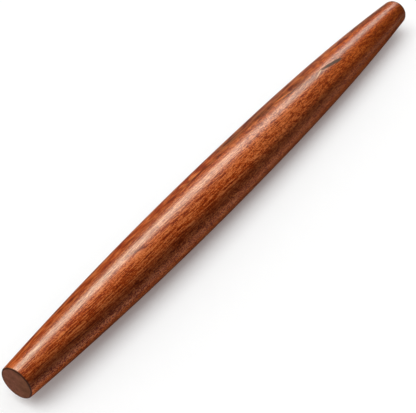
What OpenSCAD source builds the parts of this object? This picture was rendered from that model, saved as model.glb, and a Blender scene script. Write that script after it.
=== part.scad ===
// French rolling pin: one piece of solid hardwood, turned thickest in the middle and tapered
// in one continuous curve to a small flat face at each end, with no handles and no bore.
// +X runs along the turning axis and +Z is up. The origin is on the worktop, under the middle
// of the pin, where the barrel touches it.

/* [Barrel] */
// Length over both end faces
pin_len = 500; // [380:5:620]
// Diameter at the middle, where the pin is thickest
mid_d = 38; // [30:0.5:60]
// Diameter at each end, before its edge is eased
end_d = 22; // [14:0.5:28]
// How late the taper falls away: 2 is a plain bow, more keeps the middle straighter for longer
taper_power = 2.25; // [1.6:0.05:4]

/* [Ends] */
// Radius that eases the sharp edge round each end face
edge_r = 1; // [0.3:0.1:3]

/* [Hidden] */
// Straight steps along half of the taper, and round one eased edge
taper_steps = 30;
edge_steps = 6;
// Sides of the turned surface
$fn = 180;

half_len = pin_len / 2;
mid_r = mid_d / 2;
end_r = end_d / 2;
// Angle between the taper and the turning axis, where the taper reaches the end
end_slope = atan((mid_r - end_r) * taper_power / half_len);
// The arc of the eased edge touches the end face and the taper: its centre along and off the axis
edge_x = half_len - edge_r;
taper_x = edge_x + edge_r * sin(end_slope);
edge_y = taper_r(taper_x) - edge_r * cos(end_slope);

// Radius of the barrel at a distance x from its middle
function taper_r(x) = mid_r - (mid_r - end_r) * pow(abs(x) / half_len, taper_power);

// Points of the eased edge at the far end (side = 1) or the near end (side = -1), from the lower x up
function eased_edge(side) = [
    for (i = [0 : edge_steps])
        let (turn = side > 0 ? i : edge_steps - i)
        let (angle = end_slope + (90 - end_slope) * turn / edge_steps)
        [edge_y + edge_r * cos(angle), side * (edge_x + edge_r * sin(angle))]
];

// Points of the taper between the two eased edges
function taper() = [
    for (i = [1 - taper_steps : taper_steps - 1])
        let (x = taper_x * i / taper_steps)
        [taper_r(x), x]
];

// Half of the lengthwise section, drawn with the turning axis upright
module half_section() {
    polygon(concat([[0, -half_len]], eased_edge(-1), taper(), eased_edge(1), [[0, half_len]]));
}

// The whole pin, lying on the worktop
module turned_pin() {
    color("#8f4526")
        translate([0, 0, mid_r])
            rotate([0, 90, 0])
                rotate_extrude()
                    half_section();
}

turned_pin();
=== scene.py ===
from math import cos, pi, radians, sin

import bmesh
import bpy
from mathutils import Matrix, Vector


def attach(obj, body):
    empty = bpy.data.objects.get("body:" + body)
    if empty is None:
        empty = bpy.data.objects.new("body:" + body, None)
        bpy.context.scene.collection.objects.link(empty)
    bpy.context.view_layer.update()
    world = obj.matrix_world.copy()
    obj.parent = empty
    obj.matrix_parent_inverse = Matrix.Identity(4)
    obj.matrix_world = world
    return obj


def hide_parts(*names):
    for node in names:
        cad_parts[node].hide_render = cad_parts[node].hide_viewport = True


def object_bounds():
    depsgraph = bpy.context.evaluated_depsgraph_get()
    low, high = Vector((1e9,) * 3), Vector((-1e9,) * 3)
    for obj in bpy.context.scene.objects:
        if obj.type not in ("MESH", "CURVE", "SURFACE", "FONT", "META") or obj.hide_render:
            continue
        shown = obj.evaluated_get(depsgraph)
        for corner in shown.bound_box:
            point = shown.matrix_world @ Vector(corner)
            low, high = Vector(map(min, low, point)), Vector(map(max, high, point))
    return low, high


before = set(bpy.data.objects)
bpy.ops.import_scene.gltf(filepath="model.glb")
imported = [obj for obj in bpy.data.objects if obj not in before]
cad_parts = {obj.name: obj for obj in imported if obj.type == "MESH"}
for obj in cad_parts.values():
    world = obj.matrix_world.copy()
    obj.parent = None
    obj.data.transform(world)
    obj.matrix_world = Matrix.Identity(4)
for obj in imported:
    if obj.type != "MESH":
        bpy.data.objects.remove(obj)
cadLow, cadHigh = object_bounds()  # the solid's box

pinCentre = (cadLow + cadHigh) / 2
halfLength = (cadHigh.x - cadLow.x) / 2
midRadius = (cadHigh.z - cadLow.z) / 2
lengthwise = Vector((1, 0, 0))  # along the turning axis
tiny = 1e-6  # metres: places closer than this are the same


# the camera stands level beyond the near end and looks down along the pin

shot = {
    "place": (-0.5103, -0.2914, 0.4532),  # metres
    "lookDown": 39.28,  # degrees below the horizon
    "heading": 57.53,  # degrees from +Y towards +X
    "lens": 88.55,  # mm
    "sensor": 36.0,  # mm
    "clipStart": 0.01,  # metres
}


def makeCamera():
    data = bpy.data.cameras.new("shotCamera")
    data.lens = shot["lens"]
    data.sensor_width = shot["sensor"]
    data.clip_start = shot["clipStart"]
    camera = bpy.data.objects.new("shotCamera", data)
    camera.location = shot["place"]
    camera.rotation_euler = (radians(90 - shot["lookDown"]), 0, radians(-shot["heading"]))
    bpy.context.scene.collection.objects.link(camera)
    bpy.context.scene.camera = camera
    print("camera placed")


makeCamera()


# short hands for the material trees: for numbers, then for vectors, then for patterns

def put(tree, kind, inputs=None, **settings):
    node = tree.nodes.new("ShaderNode" + kind)
    for name, value in settings.items():
        setattr(node, name, value)
    for socket, value in (inputs or {}).items():
        if isinstance(value, bpy.types.NodeSocket):
            tree.links.new(value, node.inputs[socket])
        else:
            node.inputs[socket].default_value = value
    return node


def reckon(tree, operation, first, second=0.0, third=0.0, clamp=False):
    node = put(tree, "Math", {0: first, 1: second, 2: third}, operation=operation, use_clamp=clamp)
    return node.outputs[0]


def fade(tree, value, start, end, low=0.0, high=1.0):
    sockets = {"Value": value, "From Min": start, "From Max": end, "To Min": low, "To Max": high}
    return put(tree, "MapRange", sockets, interpolation_type="SMOOTHSTEP").outputs[0]


# 1 between two limits; each limit gives where the value is still 0 and where it is full

def window(tree, value, lower, upper):
    return reckon(tree, "MULTIPLY", fade(tree, value, *lower), fade(tree, value, *upper))


def mix(tree, share, first, second):
    return put(tree, "Mix", {0: share, 2: first, 3: second}, data_type="FLOAT").outputs[0]


def blend(tree, share, first, second, mode="MIX"):
    node = put(tree, "Mix", {0: share, 6: first, 7: second}, data_type="RGBA", blend_type=mode)
    return node.outputs[2]


def join(tree, operation, first, second):
    return put(tree, "VectorMath", {0: first, 1: second}, operation=operation).outputs[0]


def scaled(tree, vector, factor):
    return put(tree, "VectorMath", {0: vector, 3: factor}, operation="SCALE").outputs[0]


def measure(tree, operation, first, second=(0, 0, 0)):
    return put(tree, "VectorMath", {0: first, 1: second}, operation=operation).outputs["Value"]


def part(tree, vector, letter):
    return put(tree, "SeparateXYZ", {0: vector}).outputs[letter]


def combined(tree, first, second, third):
    return put(tree, "CombineXYZ", {0: first, 1: second, 2: third}).outputs[0]


def acrossLength(tree, vector):  # how long it is, seen from the pin's end
    return measure(tree, "LENGTH", join(tree, "MULTIPLY", vector, (0.0, 1.0, 1.0)))


def stretch(tree, place, along, across, shift=(0.0, 0.0, 0.0)):
    sockets = {"Vector": place, "Location": shift, "Scale": (along, across, across)}
    return put(tree, "Mapping", sockets).outputs[0]


def cloud(tree, place, detail=2.0, output="Fac"):
    return put(tree, "TexNoise", {"Vector": place, "Scale": 1.0, "Detail": detail}).outputs[output]


def colourCloud(tree, place):  # a cloud in each direction, from -0.5 to 0.5
    return join(tree, "SUBTRACT", cloud(tree, place, output="Color"), (0.5, 0.5, 0.5))


def newMaterial(name):
    material = bpy.data.materials.new(name)
    material.use_nodes = True
    material.node_tree.nodes.clear()
    return material, material.node_tree


# the pin: its lengthwise edge is spun round the turning axis, then the rims are eased

pin = {
    "endRadius": 0.011,  # metres, before the rim is eased
    "taperPower": 2.25,  # how late the taper falls away
    "easedEdge": 0.001,  # metres
    "easedSteps": 5,  # facets across the eased edge
    "faceRing": 0.0004,  # metres inwards from the eased edge, a ring that keeps the flat ends crisp
    "rings": 240,  # along the barrel
    "spokes": 144,  # round it
}


# places on the barrel, by metres along it and degrees round it from +Y

def barrelRadius(x):
    return midRadius - (midRadius - pin["endRadius"]) * (abs(x) / halfLength) ** pin["taperPower"]


def outwardsAt(turn):
    return Vector((0, cos(radians(turn)), sin(radians(turn))))


def onBarrel(x, turn):
    return lengthwise * x + outwardsAt(turn) * barrelRadius(x)


# the wood: reddish brown, fine and straight in the grain, under a clear satin finish

wood = {
    "tones": [  # place on the scale from dark to light, and colour
        (0.0, (0.155, 0.0120, 0.0006, 1)),
        (0.32, (0.285, 0.0295, 0.0014, 1)),
        (0.60, (0.465, 0.0670, 0.0070, 1)),
        (1.0, (0.720, 0.2020, 0.066, 1)),
    ],
    "middleTone": 0.64,  # where plain wood lies on that scale
    "follows": 0.7,  # how far the grain follows the taper: 0 not at all, 1 wholly
    "slant": (-0.020, -0.013),  # how far the grain runs towards +Y and +Z for each metre along
    "drift": (8.0, 14.0, 0.006),  # per metre along and across, and metres that the grain wanders
    "heart": (0.0, -0.055, -0.075),  # metres from the pin's centre to the middle of the tree
    "layers": (230.0, 0.15),  # per metre outwards from the heart, and how strongly they show
    # per metre along and across, then how strong: near half, far half, behind, low in front
    "patterns": {
        "patches": ((9.0, 34.0), 0.10, 0.20, 0.20, 0.20),
        "ribbons": ((9.0, 170.0), 0.06, 0.22, 0.35, 0.20),
        "streaks": ((28.0, 430.0), 0.10, 0.25, 1.30, 0.30),
        "threads": ((75.0, 480.0), 0.10, 0.60, 4.80, 0.60),
        "flecks": ((140.0, 480.0), 0.00, 0.60, 2.60, 0.70),
        "lines": ((80.0, 1350.0), 2.2, 1.3, 1.4, 1.8),
        "dashes": ((170.0, 1400.0), 1.1, 3.1, 2.0, 2.2),
        "speckle": ((760.0, 1650.0), 2.0, 4.4, 1.6, 6.5),
    },
    "halves": (-0.045, 0.025),  # metres along between which the near half turns into the far half
    "farCalm": (0.09, 0.15, 1.0, 0.75),  # metres along, and what the strengths in front go from and to
    "backCalm": (-0.110, -0.040, 0.50, 1.0),  # the same for the strengths behind
    # cosines of the turn where each side of the pin begins and is full
    "backSide": ((0.08, 0.45), (0.88, 0.62)),
    "topSide": ((-0.30, -0.20), (0.14, 0.04)),
    "lowFront": (-0.88, -0.98),
    "topCalm": 0.45,  # how much weaker the patterns are on top
    "pores": ((70.0, 1500.0), (0.60, 0.68)),  # per metre along and across, and the noise where they open
    "poreTone": -0.30,
    "poreShift": (3.0, 5.0, 7.0),  # moves their noise, so that they don't follow the patterns
    "paintedShadeSide": (0.001, 0.010, -0.18),  # painted shade on the side towards +Y: metres where it begins and is full, and how dark
    "paintedShadeBand": (155.0, -0.38),  # painted shade along a band: degrees round, and how dark
    "shadeBandReach": (0.00108, 0.00612),  # metres from its middle where it is still full and where it ends
    "shadeBandSide": (-0.002, -0.008),  # metres towards +Y where it begins and is full
    "shadeBandEnds": (0.15, 0.07),  # metres along where it has run out and where it is still full
    "farTint": (1.0, 0.87, 0.55, 1),  # the wood reddens towards the far end
    "farTintReach": (0.05, 0.17),  # metres along
}

# the clear finish, which lies finer on the lines of the grain
finish = {
    "rough": 0.35,
    "roughLines": 0.01,  # how much the roughness varies along the lines
    "specular": 0.46,
    "coat": 0.68,
    "coatTone": 0.42,  # how much more the coat shines over pale grain than over dark
    "coatLines": 0.9,  # how much it varies along the finest lines
    "coatRough": 0.25,
    "coatIndex": 1.65,
    "relief": (0.5, 0.00005),  # strength and metres
}

# a soft oval mark lying in the grain
oval = {
    "ragged": (60.0, 500.0),  # per metre along and across, how its outline is frayed
    "depth": 0.008,  # metres into the wood
    "edge": (0.45, 1.25),  # shares of its half size between which it fades
}

# marks that lighten or darken the grain's tone: metres along, degrees round, half length and
# half width in metres, degrees that the mark turns across the grain, and how much
figures = [
    (-0.134, 107.0, 0.0095, 0.0007, 14, -0.45),
    (-0.116, 123.5, 0.0120, 0.0006, 2, -0.40),
    (-0.130, 116.0, 0.0300, 0.0026, 4, 0.28),
    (-0.037, 139.6, 0.0210, 0.0005, 1, -0.45),
    (-0.036, 142.3, 0.0200, 0.0006, 1, 0.30),
    (0.012, 127.0, 0.0750, 0.0060, 0, 0.16),
    (0.030, 76.0, 0.0110, 0.0034, 3, -0.25),
    (0.053, 69.5, 0.0120, 0.0009, 5, -0.25),
    (0.054, 77.7, 0.0135, 0.0009, 9, 0.45),
    (0.072, 80.0, 0.0120, 0.0009, 9, -0.35),
    (0.046, 144.0, 0.0220, 0.0006, 0, -0.35),
]

# zones in which the whole wood is paler or darker, from the near end on, given in the same way: partly
# figure in the wood, partly painted light and shade, such as the darker far tip and the paler front
figureAndPaintedShade = [
    (-0.236, 94.0, 0.0120, 0.0018, 0, -0.16),
    (-0.230, 150.0, 0.0250, 0.0042, 0, -0.10),
    (-0.215, 176.0, 0.0550, 0.0042, 0, 0.28),
    (-0.175, 58.5, 0.0900, 0.0032, 0, 0.10),
    (-0.165, 113.0, 0.0900, 0.0035, 0, 0.14),
    (-0.160, 78.0, 0.1100, 0.0055, 0, -0.20),
    (-0.155, 69.0, 0.0200, 0.0020, 0, 0.14),
    (-0.150, 191.0, 0.1100, 0.0030, 0, 0.15),
    (-0.105, 56.0, 0.0500, 0.0030, 0, 0.20),
    (-0.060, 130.5, 0.0750, 0.0036, 0, 0.12),
    (-0.050, 56.5, 0.0260, 0.0040, 0, 0.42),
    (-0.020, 57.0, 0.0140, 0.0030, 0, -0.18),
    (0.008, 66.0, 0.0280, 0.0045, 0, -0.22),
    (0.010, 141.5, 0.0900, 0.0032, 0, 0.14),
    (0.011, 62.5, 0.0130, 0.0030, 0, 0.12),
    (0.020, 118.0, 0.1000, 0.0080, 0, 0.16),
    (0.031, 76.0, 0.0090, 0.0030, 2, -0.24),
    (0.036, 69.0, 0.0280, 0.0030, 0, -0.11),
    (0.040, 74.0, 0.0800, 0.0070, 0, -0.12),
    (0.072, 82.0, 0.0300, 0.0036, 2, -0.28),
    (0.080, 101.0, 0.0450, 0.0022, 0, -0.25),
    (0.135, 133.0, 0.0600, 0.0040, 0, 0.10),
    (0.160, 148.0, 0.1000, 0.0026, 0, -0.15),
    (0.170, 102.0, 0.0900, 0.0024, 0, -0.14),
    (0.200, 131.0, 0.0450, 0.0040, 0, -0.25),
    (0.205, 60.0, 0.0500, 0.0050, 0, -0.25),
    (0.205, 113.0, 0.0500, 0.0034, 0, 0.09),
    (0.238, 128.0, 0.0140, 0.0045, 0, -0.20),
    (0.239, 66.0, 0.0140, 0.0050, 0, -0.24),
    (0.243, 156.0, 0.0110, 0.0040, 0, -0.26),
    (0.245, 126.0, 0.0070, 0.0036, 0, -0.24),
]

# single dark or pale lines near the pin's middle, given in the same way
hairs = [
    (-0.060, 71.5, 0.0220, 0.0008, 2, -0.36),
    (-0.055, 65.5, 0.0240, 0.0008, 2, -0.36),
    (-0.046, 68.5, 0.0200, 0.0006, 2, 0.24),
    (-0.034, 76.0, 0.0200, 0.0008, 2, -0.30),
    (-0.016, 69.5, 0.0180, 0.0008, 3, -0.32),
    (-0.008, 62.5, 0.0140, 0.0008, 3, -0.32),
    (0.004, 77.0, 0.0130, 0.0006, 2, 0.26),
    (0.052, 74.0, 0.0090, 0.0009, 6, -0.30),
    (0.055, 79.0, 0.0120, 0.0009, 8, 0.42),
    (0.060, 86.5, 0.0110, 0.0008, 4, -0.32),
]

# the sawn ends: dull and finely mottled, with a ring of painted shade where the rim is eased
sawnEnd = {
    "pale": (0.362, 0.119, 0.070, 1),
    "deep": (0.198, 0.064, 0.033, 1),
    "mottle": ((180.0, 240.0), 0.7),  # per metre along and across, and its share
    "speckle": ((900.0, 1900.0), 0.5),
    "contrast": (0.44, 0.76),  # what the two add up to where the wood is deep and where it is pale
    # the painted shade on the eased rim
    "ring": (0.070, 0.020, 0.010, 1),
    "ringReach": (0.0099, 0.0103),  # metres from the axis where the painted shade ring starts and is full
    "begins": (0.0014, 0.0009),  # metres inwards from the end where sawn wood begins and is full
    "farther": 0.0006,  # how much sooner it does so at the far end and later at the near end, which widens the painted rim shade at the far tip
    "browner": (0.84, 0.88, 0.70, 1),
    "brownSide": (0.004, -0.009),  # metres towards +Y where the browner side begins and is full
    "rough": 0.75,
}

# a mineral streak in the surface and a pale hairline beside it: metres along and degrees round
mineral = {
    "start": (0.1035, 96.3),
    "end": (0.1355, 114.0),
    "halfWidth": 0.00135,
    "full": (0.36, 0.74),  # shares of the way along between which it is widest
    "colour": (0.092, 0.060, 0.056, 1),
    "cover": (0.50, 0.92),  # at its start, then where it is widest
}
hairline = {
    "start": (0.1063, 97.0),
    "end": (0.0898, 107.7),
    "halfWidth": 0.00032,
    "full": (0.05, 0.5),
    "colour": (0.90, 0.58, 0.38, 1),
    "cover": (0.60, 0.60),
}

# what both have in common
stroke = {
    "ragged": (300.0, 900.0, 0.0006),  # per metre along and across, and metres that the outline is frayed
    "tips": (0.3, 0.1),  # how wide it still is at its start and end
    "edge": 0.0002,  # metres over which it fades, each way
}


# the grain follows the taper in part, so that its lines stay long towards the ends

def followTaper(tree, centred):
    reach = reckon(tree, "DIVIDE", reckon(tree, "ABSOLUTE", part(tree, centred, "X")), halfLength)
    fallen = reckon(tree, "POWER", reach, pin["taperPower"])
    narrower = reckon(tree, "MULTIPLY_ADD", fallen, pin["endRadius"] / midRadius - 1, 1.0)
    wider = reckon(tree, "DIVIDE", 1.0, narrower)
    wider = reckon(tree, "MULTIPLY_ADD", wider, wood["follows"], 1 - wood["follows"])
    return join(tree, "MULTIPLY", centred, combined(tree, 1.0, wider, wider))


# it runs a little aslant and wanders, so every pattern reads a place that is pushed sideways

def wander(tree, centred):
    along, across, width = wood["drift"]
    push = colourCloud(tree, stretch(tree, centred, along, across))
    push = join(tree, "MULTIPLY", push, (0.0, width, width))
    slant = scaled(tree, (0.0, *wood["slant"]), part(tree, centred, "X"))
    return join(tree, "SUBTRACT", push, slant)


def annualLayers(tree, grain):
    perMetre, strength = wood["layers"]
    outwards = acrossLength(tree, join(tree, "SUBTRACT", grain, wood["heart"]))
    sockets = {"W": outwards, "Scale": perMetre, "Detail": 2.0}
    layers = put(tree, "TexNoise", sockets, noise_dimensions="1D").outputs["Fac"]
    return reckon(tree, "MULTIPLY_ADD", layers, strength, -strength / 2)


# every pattern moves the tone up or down from the middle, more or less on each side of the pin

def grainTone(tree, centred, grain):
    cosine = reckon(tree, "DIVIDE", part(tree, centred, "Y"), acrossLength(tree, centred))
    isBehind = window(tree, cosine, *wood["backSide"])
    isLow = fade(tree, cosine, *wood["lowFront"])
    isOnTop = window(tree, cosine, *wood["topSide"])
    topCalm = reckon(tree, "MULTIPLY_ADD", isOnTop, -wood["topCalm"], 1.0)
    along = part(tree, grain, "X")
    farCalm = fade(tree, along, *wood["farCalm"])
    backCalm = fade(tree, along, *wood["backCalm"])

    patterns = {}
    tone = reckon(tree, "ADD", annualLayers(tree, grain), wood["middleTone"])
    for name, (perMetre, near, far, behind, low) in wood["patterns"].items():
        patterns[name] = cloud(tree, stretch(tree, grain, *perMetre), detail=1.0)
        strength = fade(tree, along, *wood["halves"], near, far)
        strength = reckon(tree, "MULTIPLY", strength, farCalm)
        strength = mix(tree, isBehind, strength, reckon(tree, "MULTIPLY", backCalm, behind))
        strength = mix(tree, isLow, strength, low)
        strength = reckon(tree, "MULTIPLY", strength, topCalm)
        moved = reckon(tree, "MULTIPLY", reckon(tree, "SUBTRACT", patterns[name], 0.5), strength)
        tone = reckon(tree, "ADD", tone, moved)

    perMetre, opening = wood["pores"]
    pores = cloud(tree, stretch(tree, grain, *perMetre, shift=wood["poreShift"]), detail=1.0)
    patterns["pores"] = fade(tree, pores, *opening)
    tone = reckon(tree, "MULTIPLY_ADD", patterns["pores"], wood["poreTone"], tone)
    return addMarks(tree, centred, tone, figures), patterns


# an oval gives its amount inside itself and nothing outside

def ovalMark(tree, centred, x, turn, halfLong, halfWide, tilt, amount):
    outwards = outwardsAt(turn)
    roundwards = lengthwise.cross(outwards)
    along = lengthwise * cos(radians(tilt)) + roundwards * sin(radians(tilt))
    across = roundwards * cos(radians(tilt)) - lengthwise * sin(radians(tilt))
    frayed = colourCloud(tree, stretch(tree, centred, *oval["ragged"]))
    frayed = join(tree, "MULTIPLY", frayed, (0.0, halfWide, halfWide))
    offset = join(tree, "SUBTRACT", centred, onBarrel(x, turn))
    offset = join(tree, "ADD", offset, frayed)
    first = measure(tree, "DOT_PRODUCT", offset, along / halfLong)
    second = measure(tree, "DOT_PRODUCT", offset, across / halfWide)
    third = measure(tree, "DOT_PRODUCT", offset, outwards / oval["depth"])
    away = measure(tree, "LENGTH", combined(tree, first, second, third))
    return fade(tree, away, *oval["edge"], amount, 0.0)


def addMarks(tree, centred, value, marks):
    for mark in marks:
        value = reckon(tree, "ADD", value, ovalMark(tree, centred, *mark))
    return value


# painted shade: how bright the wood is made, 1 where it is plain, less on the side towards +Y and along
# one band

def paintedBroadShade(tree, centred, grain):
    sideways = part(tree, centred, "Y")
    # painted shade on the side towards +Y
    start, full, amount = wood["paintedShadeSide"]
    side = fade(tree, sideways, start, full, 1.0, 1.0 + amount)
    # painted shade along one band, where the shade falls between the lit side and the floor's light
    turn, amount = wood["paintedShadeBand"]
    fromPaintedBand = measure(tree, "DOT_PRODUCT", centred, outwardsAt(turn - 90))
    paintedBand = fade(tree, reckon(tree, "ABSOLUTE", fromPaintedBand), *wood["shadeBandReach"], amount, 0.0)
    paintedBand = reckon(tree, "MULTIPLY", paintedBand, fade(tree, sideways, *wood["shadeBandSide"]))
    paintedBand = reckon(tree, "MULTIPLY", paintedBand, fade(tree, part(tree, grain, "X"), *wood["shadeBandEnds"]))
    return reckon(tree, "ADD", side, paintedBand)


def woodColour(tree, centred, grain, tone):
    ramp = put(tree, "ValToRGB", {"Fac": tone})
    stops = ramp.color_ramp.elements
    while len(stops) < len(wood["tones"]):
        stops.new(0.5)
    for stop, (position, colour) in zip(stops, wood["tones"]):
        stop.position = position
        stop.color = colour
    farther = fade(tree, part(tree, centred, "X"), *wood["farTintReach"])
    tinted = blend(tree, farther, ramp.outputs[0], wood["farTint"], "MULTIPLY")
    # painted shade and light: the broad shade and the zones scale the whole colour, along with the single
    # lines
    shade = addMarks(tree, centred, paintedBroadShade(tree, centred, grain), figureAndPaintedShade + hairs)
    return scaled(tree, tinted, shade)


# a spindle-shaped stroke over the surface: how much it covers, from 0 outside it

def strokeMark(tree, centred, mark):
    start, end = onBarrel(*mark["start"]), onBarrel(*mark["end"])
    run = end - start
    offset = join(tree, "SUBTRACT", centred, start)
    share = measure(tree, "DOT_PRODUCT", offset, run / run.length_squared)
    share = reckon(tree, "ADD", share, 0.0, clamp=True)
    away = measure(tree, "DISTANCE", offset, scaled(tree, run, share))
    along, across, width = stroke["ragged"]
    frayed = cloud(tree, stretch(tree, centred, along, across))
    away = reckon(tree, "ADD", away, reckon(tree, "MULTIPLY_ADD", frayed, width, -width / 2))
    firstFull, lastFull = mark["full"]
    startWidth, endWidth = stroke["tips"]
    before = fade(tree, share, 0.0, firstFull, startWidth, 1.0)
    after = fade(tree, share, 1.0, lastFull, endWidth, 1.0)
    halfWidth = reckon(tree, "MULTIPLY", reckon(tree, "MULTIPLY", before, after), mark["halfWidth"])
    inside = fade(tree, reckon(tree, "SUBTRACT", away, halfWidth), stroke["edge"], -stroke["edge"])
    return reckon(tree, "MULTIPLY", inside, fade(tree, share, 0.0, firstFull, *mark["cover"]))


# 1 where the wood is sawn across: it begins in the eased edge

def sawnShare(tree, centred):
    reach = reckon(tree, "ABSOLUTE", reckon(tree, "ADD", part(tree, centred, "X"), sawnEnd["farther"]))
    start, full = sawnEnd["begins"]
    return fade(tree, reach, halfLength - start, halfLength - full)


def endGrain(tree, centred):
    perMetre, share = sawnEnd["mottle"]
    mottle = cloud(tree, stretch(tree, centred, *perMetre))
    mottle = reckon(tree, "MULTIPLY", mottle, share)
    perMetre, share = sawnEnd["speckle"]
    speckle = cloud(tree, stretch(tree, centred, *perMetre), detail=1.0)
    both = reckon(tree, "MULTIPLY_ADD", speckle, share, mottle)
    plain = blend(tree, fade(tree, both, *sawnEnd["contrast"]), sawnEnd["deep"], sawnEnd["pale"])
    aside = fade(tree, part(tree, centred, "Y"), *sawnEnd["brownSide"])
    plain = blend(tree, aside, plain, sawnEnd["browner"], "MULTIPLY")
    # painted shade on the eased rim
    atRim = fade(tree, acrossLength(tree, centred), *sawnEnd["ringReach"])
    return blend(tree, atRim, plain, sawnEnd["ring"])


def coatWeight(tree, tone, patterns, dull):
    overTone = reckon(tree, "SUBTRACT", tone, wood["middleTone"])
    weight = reckon(tree, "MULTIPLY_ADD", overTone, finish["coatTone"], finish["coat"])
    fine = reckon(tree, "SUBTRACT", reckon(tree, "ADD", patterns["lines"], patterns["dashes"]), 1.0)
    weight = reckon(tree, "MULTIPLY_ADD", fine, finish["coatLines"], weight, clamp=True)
    return reckon(tree, "SUBTRACT", weight, dull, clamp=True)


def hardwood():
    material, tree = newMaterial("satinHardwood")
    centred = join(tree, "SUBTRACT", put(tree, "TexCoord").outputs["Object"], pinCentre)
    grain = join(tree, "ADD", followTaper(tree, centred), wander(tree, centred))
    tone, patterns = grainTone(tree, centred, grain)
    stained = strokeMark(tree, centred, mineral)
    sawn = sawnShare(tree, centred)
    dull = reckon(tree, "MAXIMUM", sawn, stained)

    colour = woodColour(tree, centred, grain, tone)
    colour = blend(tree, stained, colour, mineral["colour"])
    colour = blend(tree, strokeMark(tree, centred, hairline), colour, hairline["colour"])
    colour = blend(tree, sawn, colour, endGrain(tree, centred))

    lines = finish["roughLines"]
    rough = reckon(tree, "MULTIPLY_ADD", patterns["lines"], -2 * lines, finish["rough"] + lines)
    rough = mix(tree, dull, rough, sawnEnd["rough"])
    height = reckon(tree, "SUBTRACT", patterns["lines"], patterns["pores"])
    strength, distance = finish["relief"]
    bump = put(tree, "Bump", {"Height": height, "Strength": strength, "Distance": distance})
    shader = put(tree, "BsdfPrincipled", {
        "Base Color": colour,
        "Roughness": rough,
        "Normal": bump.outputs[0],
        "Specular IOR Level": finish["specular"],
        "Coat Weight": coatWeight(tree, tone, patterns, dull),
        "Coat Roughness": finish["coatRough"],
        "Coat IOR": finish["coatIndex"],
    })
    output = put(tree, "OutputMaterial")
    tree.links.new(shader.outputs[0], output.inputs[0])
    print("wood grown:", len(tree.nodes), "nodes")
    return material


def turnPin():
    shape = bmesh.new()
    outline = ((-1, 0), (-1, pin["endRadius"]), (1, pin["endRadius"]), (1, 0))
    corners = [shape.verts.new((side * halfLength, 0, height)) for side, height in outline]
    shape.edges.new(corners[:2])
    barrel = shape.edges.new(corners[1:3])
    shape.edges.new(corners[2:])
    bmesh.ops.subdivide_edges(shape, edges=[barrel], cuts=pin["rings"])
    for vert in shape.verts:
        if vert.co.z > 0:
            vert.co.z = barrelRadius(vert.co.x)
    bmesh.ops.spin(shape, geom=shape.verts[:] + shape.edges[:], cent=(0, 0, 0), axis=lengthwise,
                   angle=2 * pi, steps=pin["spokes"], use_merge=True)
    bmesh.ops.remove_doubles(shape, verts=shape.verts, dist=tiny)
    bmesh.ops.recalc_face_normals(shape, faces=shape.faces)
    rims = [edge for edge in shape.edges if all(isOnRim(vert) for vert in edge.verts)]
    bmesh.ops.bevel(shape, geom=rims, offset=pin["easedEdge"], offset_type="OFFSET",
                    segments=pin["easedSteps"], profile=0.5, affect="EDGES", material=-1,
                    clamp_overlap=True)
    flats = [face for face in shape.faces if isAtEnd(face.calc_center_median())]
    bmesh.ops.inset_region(shape, faces=flats, thickness=pin["faceRing"], use_even_offset=True)
    for face in shape.faces:
        face.smooth = True
    bmesh.ops.translate(shape, verts=shape.verts, vec=pinCentre)
    mesh = bpy.data.meshes.new("turnedPin")
    shape.to_mesh(mesh)
    shape.free()
    mesh.materials.append(hardwood())
    turned = bpy.data.objects.new("turnedPin", mesh)
    bpy.context.scene.collection.objects.link(turned)
    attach(turned, "root")
    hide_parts("turned_pin")
    turned.visible_diffuse = False  # so that its red doesn't spread over the floor
    print("pin turned:", len(mesh.polygons), "faces")
    return turned


def isAtEnd(place):
    return abs(abs(place.x) - halfLength) < tiny


def isOnRim(vert):
    fromAxis = Vector((0, vert.co.y, vert.co.z)).length
    return isAtEnd(vert.co) and abs(fromAxis - pin["endRadius"]) < 10 * tiny


turnedPin = turnPin()


# the studio: long softboxes that run with the pin, a light from under it and a pale floor

studio = {
    "boxDistance": 1.2,  # metres from the pin's axis
    # degrees round the pin from +Y, metres along, length and width, radiance, colour
    "softboxes": {
        "nearBox": (64.5, -0.20, (1.80, 0.58), 6.2, (0.966, 0.95, 0.76)),
        "midBox": (69.0, 0.90, (0.40, 0.60), 5.5, (0.966, 0.95, 0.76)),
        "thirdBox": (74.0, 1.40, (0.60, 0.64), 2.9, (0.955, 0.99, 0.87)),
        "farBox": (67.5, 2.20, (1.00, 0.68), 2.75, (0.955, 1.00, 0.90)),
    },
    # broad lamps: the direction that each comes from, degrees wide, W/m2, colour
    "floorSun": ((-0.462, 0.082, 0.883), 50.0, 1.90, (0.94, 0.992, 1.0)),  # throws the pin's shadow
    "floorSky": ((0.0, 0.50, 0.866), 178.0, 1.78, (0.94, 0.992, 1.0)),  # darkens the line of contact
    "bounce": ((-0.25, -0.50, -0.82), 100.0, 3.2, (1.0, 1.0, 1.0)),  # the floor's light on the pin
    "floorSize": 12.0,  # metres
    "floorColour": (0.88, 0.88, 0.88, 1),
    "floorGlow": (0.155, 0.106, 0.098, 1),  # warms the shadow
    "underShade": (-0.034, 0.020),  # metres towards +Y between which the dark strip under the pin lies
    "shadeHeight": 0.0002,  # metres above the floor
}


# each lamp lights one object, and one object throws its shadow

def hang(name, data, towards, offset, lit, blocker):
    side = towards.cross(lengthwise).normalized()
    axes = Matrix((side.cross(towards), side, towards)).transposed()
    lamp = bpy.data.objects.new(name, data)
    lamp.matrix_world = Matrix.Translation(pinCentre + offset) @ axes.to_4x4()
    lamp.visible_camera = False
    bpy.context.scene.collection.objects.link(lamp)
    receivers = bpy.data.collections.new(name + "Lights")
    receivers.objects.link(lit)
    lamp.light_linking.receiver_collection = receivers
    blockers = bpy.data.collections.new(name + "Shadows")
    blockers.objects.link(blocker)
    lamp.light_linking.blocker_collection = blockers
    print(name, "hung")
    return lamp


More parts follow.
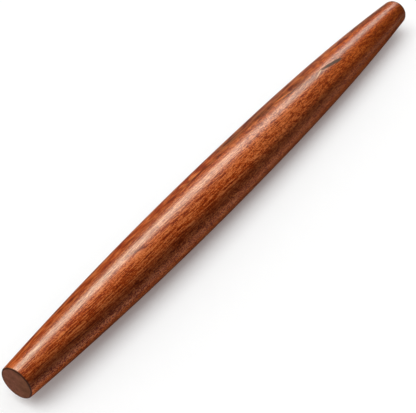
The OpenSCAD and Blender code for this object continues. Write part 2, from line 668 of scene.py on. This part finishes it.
def makeSoftbox(name, turn, along, size, radiance, colour):
    data = bpy.data.lights.new(name, "AREA")
    data.shape = "RECTANGLE"
    data.size, data.size_y = size
    data.energy = radiance * pi * size[0] * size[1]  # watts
    data.color = colour
    towards = outwardsAt(turn)
    offset = towards * studio["boxDistance"] + lengthwise * along
    hang(name, data, towards, offset, turnedPin, turnedPin)


def makeSun(name, lit, blocker):
    direction, width, strength, colour = studio[name]
    data = bpy.data.lights.new(name, "SUN")
    data.angle = radians(width)
    data.energy = strength
    data.color = colour
    towards = Vector(direction).normalized()
    return hang(name, data, towards, towards, lit, blocker)


# a flat sheet that isn't part of the object

def makeSheet(name, length, width):
    shape = bmesh.new()
    bmesh.ops.create_grid(shape, x_segments=1, y_segments=1, size=0.5)
    bmesh.ops.scale(shape, verts=shape.verts, vec=(length, width, 1))
    mesh = bpy.data.meshes.new(name)
    shape.to_mesh(mesh)
    shape.free()
    sheet = bpy.data.objects.new(name, mesh)
    sheet.visible_diffuse = False
    sheet.visible_glossy = False
    bpy.context.scene.collection.objects.link(sheet)
    print(name, "laid")
    return sheet


# the pin doesn't see the floor: the bounce lamp and the room stand in for it

def makeFloor():
    sheet = makeSheet("floor", studio["floorSize"], studio["floorSize"])
    sheet.visible_shadow = False
    material, tree = newMaterial("paleFloor")
    pale = put(tree, "BsdfDiffuse", {"Color": studio["floorColour"]})
    glow = put(tree, "Emission", {"Color": studio["floorGlow"]})
    both = put(tree, "AddShader", {0: pale.outputs[0], 1: glow.outputs[0]})
    output = put(tree, "OutputMaterial")
    tree.links.new(both.outputs[0], output.inputs[0])
    sheet.data.materials.append(material)
    return sheet


# a strip under the pin that only keeps the bounce lamp's light off it

def makeUnderShade():
    start, end = studio["underShade"]
    sheet = makeSheet("underShade", 2 * halfLength, end - start)
    sheet.location = (pinCentre.x, (start + end) / 2, studio["shadeHeight"])
    sheet.visible_camera = False
    return sheet


# the room is white to the camera, and dim in the finish but for a band low down, which is the
# floor with its warm shadow, and a patch beyond the far end

room = {
    "dim": (0.004, 0.0035, 0.002),
    # ahead, aside and height are the parts of a direction along +X, +Y and +Z
    "bandColour": (0.19, 0.142, 0.105),
    "bandTop": (0.66, 0.87, -0.44, -0.10),  # ahead, from and to, and the height of its top there
    "bandDepth": ((-0.01, 0.09), (0.32, 0.10)),  # under its top: from nothing to full, at both edges
    "bandAhead": (0.66, 0.86, 0.95, 1.45),  # from and to, and how bright it is there
    "patchColour": (0.13, 0.125, 0.11),
    "patchAhead": (0.40, 0.85),  # from nothing to full, as in the next two
    "patchAside": (0.10, 0.45),
    "patchHeight": (0.25, 0.0),
    "patchEnd": (0.84, 0.93, 1.0, 0.4),  # ahead, from and to, and how bright it still is
}


def makeRoom():
    world = bpy.data.worlds.new("room")
    bpy.context.scene.world = world
    world.use_nodes = True
    tree = world.node_tree
    tree.nodes.clear()
    direction = put(tree, "TexCoord").outputs["Generated"]
    ahead, aside, height = (part(tree, direction, letter) for letter in "XYZ")

    depth = reckon(tree, "SUBTRACT", fade(tree, ahead, *room["bandTop"]), height)
    band = window(tree, depth, *room["bandDepth"])
    band = reckon(tree, "MULTIPLY", band, fade(tree, ahead, *room["bandAhead"]))
    patch = fade(tree, ahead, *room["patchAhead"])
    patch = reckon(tree, "MULTIPLY", patch, fade(tree, aside, *room["patchAside"]))
    patch = reckon(tree, "MULTIPLY", patch, fade(tree, height, *room["patchHeight"]))
    patch = reckon(tree, "MULTIPLY", patch, fade(tree, ahead, *room["patchEnd"]))

    light = scaled(tree, room["bandColour"], band)
    light = join(tree, "ADD", light, scaled(tree, room["patchColour"], patch))
    light = join(tree, "ADD", light, room["dim"])
    seen = put(tree, "LightPath").outputs["Is Camera Ray"]
    background = put(tree, "Background", {"Color": blend(tree, seen, light, (1, 1, 1, 1))})
    output = put(tree, "OutputWorld")
    tree.links.new(background.outputs[0], output.inputs[0])
    print("room lit")


for boxName, settings in studio["softboxes"].items():
    makeSoftbox(boxName, *settings)
floor = makeFloor()
for lampName in ("floorSun", "floorSky"):
    makeSun(lampName, floor, turnedPin)
bounce = makeSun("bounce", turnedPin, makeUnderShade())
bounce.visible_glossy = False  # the finish mirrors the room's band instead
makeRoom()
bpy.context.scene.view_settings.view_transform = "Standard"
